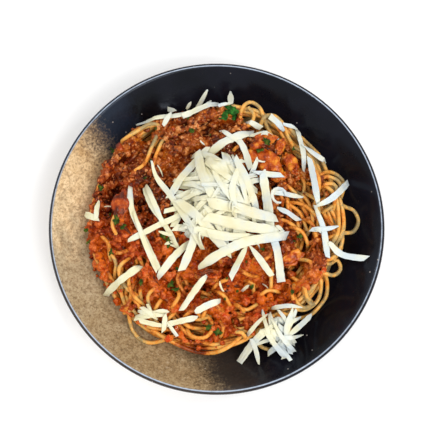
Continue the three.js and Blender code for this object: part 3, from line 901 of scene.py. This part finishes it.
def torn_leaf(bm, x, y, size, rng):
    """One torn bit of leaf, curled, that lies on what is below it."""
    blade = bmesh.ops.create_grid(bm, x_segments=5, y_segments=5, size=1)["verts"]
    rest = rest_at(x, y, size * 0.25)
    turn, curl = rng.uniform(0, 2 * math.pi), rng.uniform(0.05, 0.15) * size
    seed = rng.uniform(0, 99)
    for vert in blade:
        u = vert.co.x * math.sqrt(1 - vert.co.y**2 / 2)
        v = vert.co.y * math.sqrt(1 - vert.co.x**2 / 2) * 0.7
        reach = size / 2 * (1 + 1.2 * noise.noise(Vector((u * 1.8, v * 1.8, seed))))
        rise = curl * (u * u - v * v * 2) + 0.3 * noise.noise(Vector((u * 3, v * 3, seed)))
        dx, dy = swung(reach * u, reach * v, turn)
        vert.co = (x + dx, y + dy, rest + 0.3 + rise)
    faces = {face for vert in blade for face in vert.link_faces}
    bmesh.ops.solidify(bm, geom=list(faces), thickness=-0.25)


def parsley_leaf(name, low, middle, high):
    """Parsley: a thin waxy leaf with darker patches where the cells broke."""
    material, shader, node, place = new_material(name)
    patches = node("TexNoise", {"Vector": place, "Scale": 1 / 0.002, "Detail": 3.0})
    colour = node("ValToRGB", {0: patches}, stops=[(0.34, low), (0.5, middle), (0.66, high)])
    fill(shader, {
        "Base Color": colour, "Roughness": 0.45, "IOR": 1.36, "Specular Tint": "#b9cf7c",
        "Subsurface Weight": 0.15, "Subsurface Radius": (0.0006, 0.0012, 0.0004),
    })
    return material


# Plan middles and sizes of the leaves that can be told apart.
COOKED_LEAVES = [
    (-61, 0, 5.5), (-57, -4, 4), (-30, -13, 5), (-33, -9, 4), (-28, -38, 5), (-25, -42, 4),
    (-5, -65, 4.5), (1, -68, 5), (-82, -4, 3.5), (-80, -12, 3), (31, 50, 5), (27, 45, 4),
    (-67, 48, 3.6), (-73, 22, 4), (-42, 40, 3), (-64, -20, 3.5), (22, -40, 3.4), (52, -8, 3.6),
    (-16, 60, 3.4), (46, -44, 3), (-46, -38, 3.6),
]
COOKED_VERTS = 3400
cooked = bmesh.new()
for x, y, size in COOKED_LEAVES:
    torn_leaf(cooked, x, y, size, rng)
while len(cooked.verts) < COOKED_VERTS:
    x, y = rng.uniform(-76, 76), rng.uniform(-76, 76)
    if rng.random() < float(cover(x, y)):
        torn_leaf(cooked, x, y, rng.uniform(1.4, 2.8), rng)
cooked = finish_mesh("cooked_parsley", cooked)
served(cooked, parsley_leaf("parsley cooked in sauce", "#15240a", "#2b4212", "#565c1c"), "herb")

fresh = bmesh.new()
for x, y, size in ((7, 72, 6), (10, 73, 6.5), (5, 69, 5), (11, 69, 4)):
    torn_leaf(fresh, x, y, size, rng)
fresh = finish_mesh("fresh_parsley", fresh)
served(fresh, parsley_leaf("fresh parsley", "#0f3212", "#1b4f1b", "#357a2e"), "herb")

# ---------------------------------------------------------------- grated cheese
# A mild white cheese pushed over the coarse side of a box grater by hand. The shreds are flat
# ribbons 2 to 6 mm wide and just under 1 mm thick, with narrower torn ends. They were dropped
# in a heap on the middle and a small one at the near right, and some fell about.

SHRED_THICKNESS = 0.9


def lay_shred(bm, points, width, rng, blunt=0.35, sag=0.09):
    """One ribbon of cheese over all below it, with its two edges resting on their own."""
    line = along(points, 2.2)
    count = len(line)
    share = np.linspace(-1, 1, count)
    forward = np.gradient(line, axis=0)
    forward /= np.hypot(*forward.T)[:, None]
    left = np.column_stack([-forward[:, 1], forward[:, 0]])
    ends = [blunt, rng.uniform(0.55, 0.95)] if rng.random() < 0.5 else [rng.uniform(0.55, 0.95), blunt]
    powers = [1.4 if end < 0.25 else 2.2 if end < 0.4 else 7.0 for end in ends]
    taper = np.where(
        share < 0, 1 - (1 - ends[0]) * np.abs(share) ** powers[0],
        1 - (1 - ends[1]) * np.abs(share) ** powers[1],
    )
    ragged = np.array([1 + 0.1 * rng.uniform(-1, 1) for _ in range(count)])
    slant = {0: rng.uniform(-1.1, 1.1), count - 1: rng.uniform(-1.1, 1.1)}
    half = 0.43 * width * taper * ragged
    rails = []
    for side in (-1, 1):
        x, y = (line + side * half[:, None] * left * 0.8).T
        rails.append(bridge(top_under(x, y, 0.9), sag, 80))
    centre = bridge(top_under(line[:, 0], line[:, 1], 0.9), sag, 80)
    right_rail, left_rail = rails
    lift = np.maximum(centre - (right_rail + left_rail) / 2, 0)
    tilt = np.clip(left_rail - right_rail, -0.5 * width, 0.5 * width)
    middle = (right_rail + left_rail) / 2 + lift
    thickness = SHRED_THICKNESS * rng.uniform(0.8, 1.15)
    cup = rng.uniform(-0.25, 0.45)
    lane = bm.verts.layers.float.get("lane") or bm.verts.layers.float.new("lane")
    first_lane = rng.uniform(0, 99)
    ribbon = bmesh.ops.create_grid(bm, x_segments=count - 1, y_segments=3, size=1)["verts"]
    for vert in ribbon:
        i = int(round((vert.co.x + 1) / 2 * (count - 1)))
        across = vert.co.y
        vert[lane] = first_lane + across * width / 2
        x, y = line[i] + across * half[i] * left[i]
        if i in slant:
            # The cut end runs at a slant: one corner reaches further out than the other.
            reach = abs(slant[i]) * half[i] * (1 + across * math.copysign(1, slant[i]))
            x, y = (x, y) + (forward[i] if i else -forward[i]) * reach
        height = middle[i] + across * tilt[i] / 2 + cup * across**2
        # A corner that reaches out past the rest bends up along the bowl's wall.
        height = max(height, inside_height(math.hypot(x, y)))
        vert.co = (x, y, height + 0.15)
    faces = {face for vert in ribbon for face in vert.link_faces}
    bmesh.ops.solidify(bm, geom=list(faces), thickness=-thickness)
    dense = np.linspace(0, count - 1, count * 4)
    for across in (-0.66, 0, 0.66):
        edge_line = line + across * half[:, None] * left
        edge_height = middle + across * tilt / 2 + 0.6 * thickness
        x, y, z = (
            np.interp(dense, np.arange(count), part) for part in (*edge_line.T, edge_height)
        )
        raise_top(x, y, z, max(0.8, width / 5), 0.01)


def bent(x, y, heading, length, bow):
    """Plan points of a ribbon about a middle, with its middle pushed sideways by bow."""
    turn = math.radians(heading)
    ahead, aside = np.array([math.cos(turn), math.sin(turn)]), np.array([-math.sin(turn), math.cos(turn)])
    middle = np.array([x, y])
    return [middle - ahead * length / 2, middle + aside * bow, middle + ahead * length / 2]


def tossed(bm, x, y, radius, rng, count, lengths, widths):
    """Shreds dropped at random round a middle."""
    for i in range(count):
        out = radius * (1 - 0.45 * i / count) * math.sqrt(rng.random())
        bearing = rng.uniform(0, 2 * math.pi)
        length = rng.uniform(*lengths)
        points = bent(
            x + out * math.cos(bearing), y + out * math.sin(bearing),
            rng.uniform(0, 360), length, rng.uniform(-0.12, 0.12) * length,
        )
        lay_shred(bm, points, rng.uniform(*widths), rng, rng.uniform(0.2, 0.8))


def heap_core(bm, x, y, radius, height):
    """The close-packed bottom of a heap, as one low mound that follows what it lies on."""
    mound = bmesh.ops.create_icosphere(bm, subdivisions=4, radius=1)["verts"]
    for vert in mound:
        edge = radius * (1 + 0.25 * noise.noise(vert.co * 1.5))
        plan_x, plan_y = x + vert.co.x * edge, y + vert.co.y * edge
        rest = rest_at(plan_x, plan_y, 1.5)
        rise = height * vert.co.z * (1 + 0.25 * noise.noise(vert.co * 5)) if vert.co.z > 0 else -0.3
        vert.co = (plan_x, plan_y, rest + rise)
    tops = np.array([vert.co for vert in mound if vert.co.z > 0])
    raise_top(*tops.T, 1.4, 0.01)


def grated_cheese():
    """Mild white cheese: creamy and waxy, with faint lines from the grater's teeth."""
    material, shader, node, place = new_material("mild white cheese")
    mottle = node("TexNoise", {"Vector": place, "Scale": 1 / 0.012, "Detail": 3.0})
    crumb = node("TexNoise", {"Vector": place, "Scale": 1 / 0.0013, "Detail": 3.0, "Roughness": 0.6})
    # The single shreds away from the heap are painted cooler and whiter, most of all on the right: painted
    # cool light on them, with a random mottle.
    plan = node("VectorMath", {0: place, 1: (1.0, 1.0, 0.0)}, operation="MULTIPLY")
    plan = node("VectorMath", {0: plan}, operation="LENGTH")
    cool_light_and_mottle = node("Math", {0: plan, 1: 1.5, 2: mottle}, operation="MULTIPLY_ADD")
    from_right = node("VectorMath", {0: place, 1: (2.0, 0.8, 0.0)}, operation="DOT_PRODUCT")
    cool_light_and_mottle = node("Math", {0: cool_light_and_mottle, 1: from_right}, operation="ADD")
    colour = node(
        "ValToRGB", {0: cool_light_and_mottle},
        stops=[(0.4, "#dad4b0"), (0.52, "#dcd9bd"), (0.66, "#d4d5c6"), (0.8, "#c6cfd0")],
    )
    # Each shred has long ridges a millimetre or so apart from the teeth of the grater.
    lane = node("Attribute", attribute_name="lane", output="Fac")
    ridge = node("TexNoise", {"W": lane, "Scale": 0.9}, noise_dimensions="1D")
    relief = node("Math", {0: crumb, 1: 0.5, 2: ridge}, operation="MULTIPLY_ADD")
    grain = node("Bump", {"Height": relief, "Strength": 0.5, "Distance": 0.45 * MM})
    fill(shader, {
        "Base Color": colour, "Normal": grain, "Roughness": 0.5, "IOR": 1.4, "Subsurface Weight": 0.6,
        "Subsurface Radius": (0.006, 0.0056, 0.0048),
    })
    return material


cheese_finish = grated_cheese()


def cheese_piece(name, bm, *nodes):
    """Finish a mesh of shreds as cheese in place of the given solids."""
    piece = finish_mesh(name, bm)
    soften = piece.modifiers.new("worn edges", "BEVEL")
    soften.width = 0.22 * MM
    soften.segments = 2
    soften.limit_method = "ANGLE"
    soften.angle_limit = math.radians(50)
    served(piece, cheese_finish, "cheese", *nodes)


# Shreds of the middle heap that can be told apart, lowest first: plan points and width.
HEAP_SHREDS = [
    (((-54, 22), (-52, 6), (-45, -10), (-34, -32)), 4.0, 0.4),
    (((-46, 23), (-41, 11), (-32, -2), (-24, -16)), 3.8, 0.5),
    (((-54, -12), (-38, -3), (-24, 4), (-16, 10)), 4.0, 0.4),
    (((-36, -34), (-25, -20), (-18, -13)), 5.0, 0.5),
    (((-21, -29), (-15, -14), (-12, -4)), 5.6, 0.8),
    (((9, -34), (13, -26), (18, -16)), 4.4, 0.4),
    (((34, -33), (28, -25), (21, -15)), 4.4, 0.3),
    (((22, 31), (31, 30), (40, 30)), 3.6, 0.3),
    (((12, 55), (17, 47), (21, 34)), 4.4, 0.5),
    (((-10, 41), (5, 51), (23, 59)), 5.6, 0.6),
    (((-29, 17), (-18, 33), (-6, 48)), 5.4, 0.6),
    (((-41, 39), (-38, 29), (-29, 17), (-18, 0), (-9, -16)), 4.4, 0.3),
    (((40, -37), (38, -20), (34, -3), (33, 8)), 6.0, 0.6),
    (((29, 29), (32, 11), (34, -5)), 6.2, 0.8),
    (((-16, 44), (-6, 42), (3, 34), (11, 24)), 5.2, 0.7),
    (((12, 38), (18, 25), (25, 8)), 5.6, 0.7),
    (((-24, 13), (-10, 0), (4, -15)), 6.6, 0.6),
    (((-7, 39), (4, 27), (14, 11)), 7.4, 0.6),
    (((-12, 45), (-9, 29), (-1, 10)), 6.2, 0.7),
    (((-14, -6), (4, -9), (24, -9)), 6.0, 0.6),
    (((-4, 9), (14, 6), (37, 3)), 7.0, 0.7),
    (((-5, 1), (12, -2), (38, -5)), 7.2, 0.8),
    (((-11, -28), (3, -19), (19, -12), (43, -8)), 6.8, 0.4),
]
rng = random.Random(5)
middle_heap = bmesh.new()
heap_core(middle_heap, 3, 13, radius=21, height=5)
tossed(middle_heap, 2, 14, 22, rng, count=76, lengths=(22, 40), widths=(2.6, 5.8))
for points, width, blunt in HEAP_SHREDS:
    lay_shred(middle_heap, points, width, rng, blunt)
tossed(middle_heap, 10, 20, 10, rng, count=6, lengths=(18, 30), widths=(2.4, 4.5))
cheese_piece("cheese_heap_shreds", middle_heap, "cheese_heap")

SIDE_SHREDS = [
    (((52, -53), (43, -52), (34, -53)), 3.2, 0.2),
    (((14, -86), (24, -72), (36, -62)), 5.0, 0.3),
    (((45, -80), (42, -67), (46, -54)), 4.0, 0.3),
    (((59, -57), (52, -63), (44, -69)), 3.8, 0.5),
    (((54, -69), (46, -71), (38, -71)), 2.8, 0.2),
    (((26, -87), (24, -79), (21, -72)), 3.4, 0.3),
    (((41, -82), (34, -74), (29, -67)), 3.6, 0.5),
    (((28, -54), (29, -61), (31, -69)), 2.8, 0.3),
    (((19, -69), (25, -62), (32, -56)), 2.8, 0.2),
    (((47, -79), (39, -71), (33, -60)), 3.0, 0.3),
]
side_heap = bmesh.new()
heap_core(side_heap, 37, -66, radius=6.5, height=1.4)
tossed(side_heap, 38, -68, 10, rng, count=14, lengths=(13, 21), widths=(2.2, 4.0))
for points, width, blunt in SIDE_SHREDS:
    lay_shred(side_heap, points, width, rng, blunt)
cheese_piece("cheese_side_heap_shreds", side_heap, "cheese_side_heap")

# The loose shreds, each in place of its own solid, from the far left round to the middle left.
LOOSE_SHREDS = [
    (((-53, 67), (-41, 67), (-29, 69), (-18, 72)), 3.8, 0.3),
    (((-22, 69), (-8, 75), (6, 80)), 4.8, 0.3),
    (((9, 89), (9, 83), (9, 77)), 4.6, 0.2),
    (((-6, 90), (-10, 84), (-14, 78)), 3.2, 0.3),
    (((52, 63), (54, 48), (55, 33)), 3.4, 0.4),
    (((54, 49), (61, 45), (70, 40)), 4.2, 0.2),
    (((58, 39), (60, 24), (62, 9)), 4.2, 0.4),
    (((61, 8), (72, 14), (84, 27)), 4.6, 0.3),
    (((60, 8), (66, -5), (68, -22)), 4.2, 0.3),
    (((69, -13), (77, -20), (92, -22)), 4.6, 0.5),
    (((-69, -44), (-58, -36), (-47, -28)), 5.0, 0.6),
    (((-49, -59), (-39, -57), (-30, -55)), 4.4, 0.4),
    (((-30, -63), (-21, -61), (-12, -59)), 4.0, 0.4),
    (((-13, -56), (-6, -52), (2, -49)), 4.8, 0.4),
    (((-21, -54), (-14, -44), (-6, -34)), 4.4, 0.4),
    (((-37, -30), (-44, -14), (-51, 5)), 3.6, 0.3),
    (((-33, -2), (-39, 12), (-45, 25)), 3.6, 0.4),
    (((-83, 6), (-79, 4), (-74, 2)), 4.6, 0.4),
]
for number, (points, width, blunt) in enumerate(LOOSE_SHREDS, 1):
    shred = bmesh.new()
    lay_shred(shred, points, width, rng, blunt)
    cheese_piece(f"cheese_shred_{number:02}_ribbon", shred, f"cheese_shred_{number:02}")

# Short bits and threads of the same cheese that broke off as it fell: plan points and width.
CHEESE_BITS = [
    (((-29, 71), (-31, 67), (-34, 62)), 3.2), (((-32, 78), (-27, 75)), 4.0),
    (((-4, 84), (-9, 79)), 3.0), (((-20, 79), (-17, 83)), 2.4), (((1, 75), (8, 77)), 2.6),
    (((19, 66), (28, 62)), 3.6), (((34, 68), (39, 65), (43, 60)), 4.4), (((43, 64), (52, 62)), 3.0),
    (((22, 56), (32, 56), (41, 55)), 3.4), (((59, -5), (67, -5), (75, -3)), 3.4),
    (((34, 19), (44, 18), (54, 16)), 3.4), (((38, 10), (45, 7), (51, 3)), 3.4),
    (((38, -2), (42, -6)), 3.0), (((-74, 14), (-75, 8), (-75, 3)), 3.4),
    (((-48, -55), (-40, -57), (-31, -58)), 2.8), (((-46, -61), (-38, -63), (-31, -64)), 3.4),
    (((-42, -51), (-39, -57)), 2.4), (((-31, -57), (-32, -66)), 3.6), (((16, -42), (20, -39)), 2.2),
    (((-45, -53), (-36, -60)), 3.0), (((2, 60), (12, 52)), 3.2),
    (((-36, -6), (-28, -8)), 2.6), (((-32, -14), (-27, -12)), 2.4), (((-30, -62), (-24, -70)), 2.4),
]
bits = bmesh.new()
for points, width in CHEESE_BITS:
    lay_shred(bits, points, width, rng, 0.3, 0.3)
curl = [(39 + 4.4 * math.cos(a / 4), 17 + 4.4 * math.sin(a / 4)) for a in range(0, 22, 2)]
lay_shred(bits, curl, 2.2, rng, 0.5, 0.3)
for _ in range(26):
    x, y, heading, length = rng.gauss(8, 34), rng.gauss(0, 34), rng.uniform(0, 360), rng.uniform(3, 7)
    if cover(x, y) > 0.5:
        lay_shred(bits, bent(x, y, heading, length, 0.4), rng.uniform(0.9, 1.5), rng, 0.4, 0.3)
cheese_piece("cheese_bits", bits)

# ---------------------------------------------------------------- floor, light and camera
# A floor of matt white studio board under a large soft light from the near right, a weaker one
# from the far left and a pale room.

board, board_shader, _, _ = new_material("white studio board")
fill(board_shader, {"Base Color": "#f4f4f4", "Roughness": 0.9})
floor_bm = bmesh.new()
bmesh.ops.create_grid(floor_bm, x_segments=1, y_segments=1, size=3000)
floor = finish_mesh("studio_floor", floor_bm, recalculate=False)
floor.data.materials.append(board)


def soft_light(name, place, size, power):
    """A square soft box turned to the food."""
    data = bpy.data.lights.new(name, "AREA")
    data.size = size
    data.energy = power
    lamp = bpy.data.objects.new(name, data)
    lamp.location = place
    lamp.rotation_euler = (FOOD_MIDDLE - Vector(place)).to_track_quat("-Z", "Y").to_euler()
    bpy.context.scene.collection.objects.link(lamp)


FOOD_MIDDLE = Vector((0, 0, 0.03))
soft_light("key soft box", (0.5, -0.5, 1.0), size=0.7, power=7.5)
# Small bare lamps overhead, too weak to light anything, put the glints on wet sauce and oil.
for place in ((0.32, -0.42, 1.0), (-0.2, -0.1, 1.1), (0.1, 0.35, 1.05), (-0.45, 0.3, 0.9), (0.5, 0.1, 0.9)):
    soft_light("glint lamp", place, size=0.07, power=0.6)
soft_light("window far left", (-0.9, 0.8, 0.9), size=0.9, power=1.5)
world = bpy.data.worlds.new("pale room")
world.use_nodes = True
fill(world.node_tree.nodes["Background"], {"Color": "#ffffff", "Strength": 0.84})
bpy.context.scene.world = world
bpy.context.scene.view_settings.view_transform = "Standard"

ELEVATION = math.radians(80)
DISTANCE = 0.457
LENS = 60
rim_middle = Vector((0, 0, RIM_HEIGHT * MM))
aim = rim_middle + Vector((2.1, 1.4, 0)) * MM
camera_data = bpy.data.cameras.new("view from the diner's seat")
camera_data.lens = LENS
camera = bpy.data.objects.new("camera", camera_data)
camera.location = aim + DISTANCE * Vector((0, -math.cos(ELEVATION), math.sin(ELEVATION)))
camera.rotation_euler = (aim - camera.location).to_track_quat("-Z", "Y").to_euler()
bpy.context.scene.collection.objects.link(camera)
bpy.context.scene.camera = camera
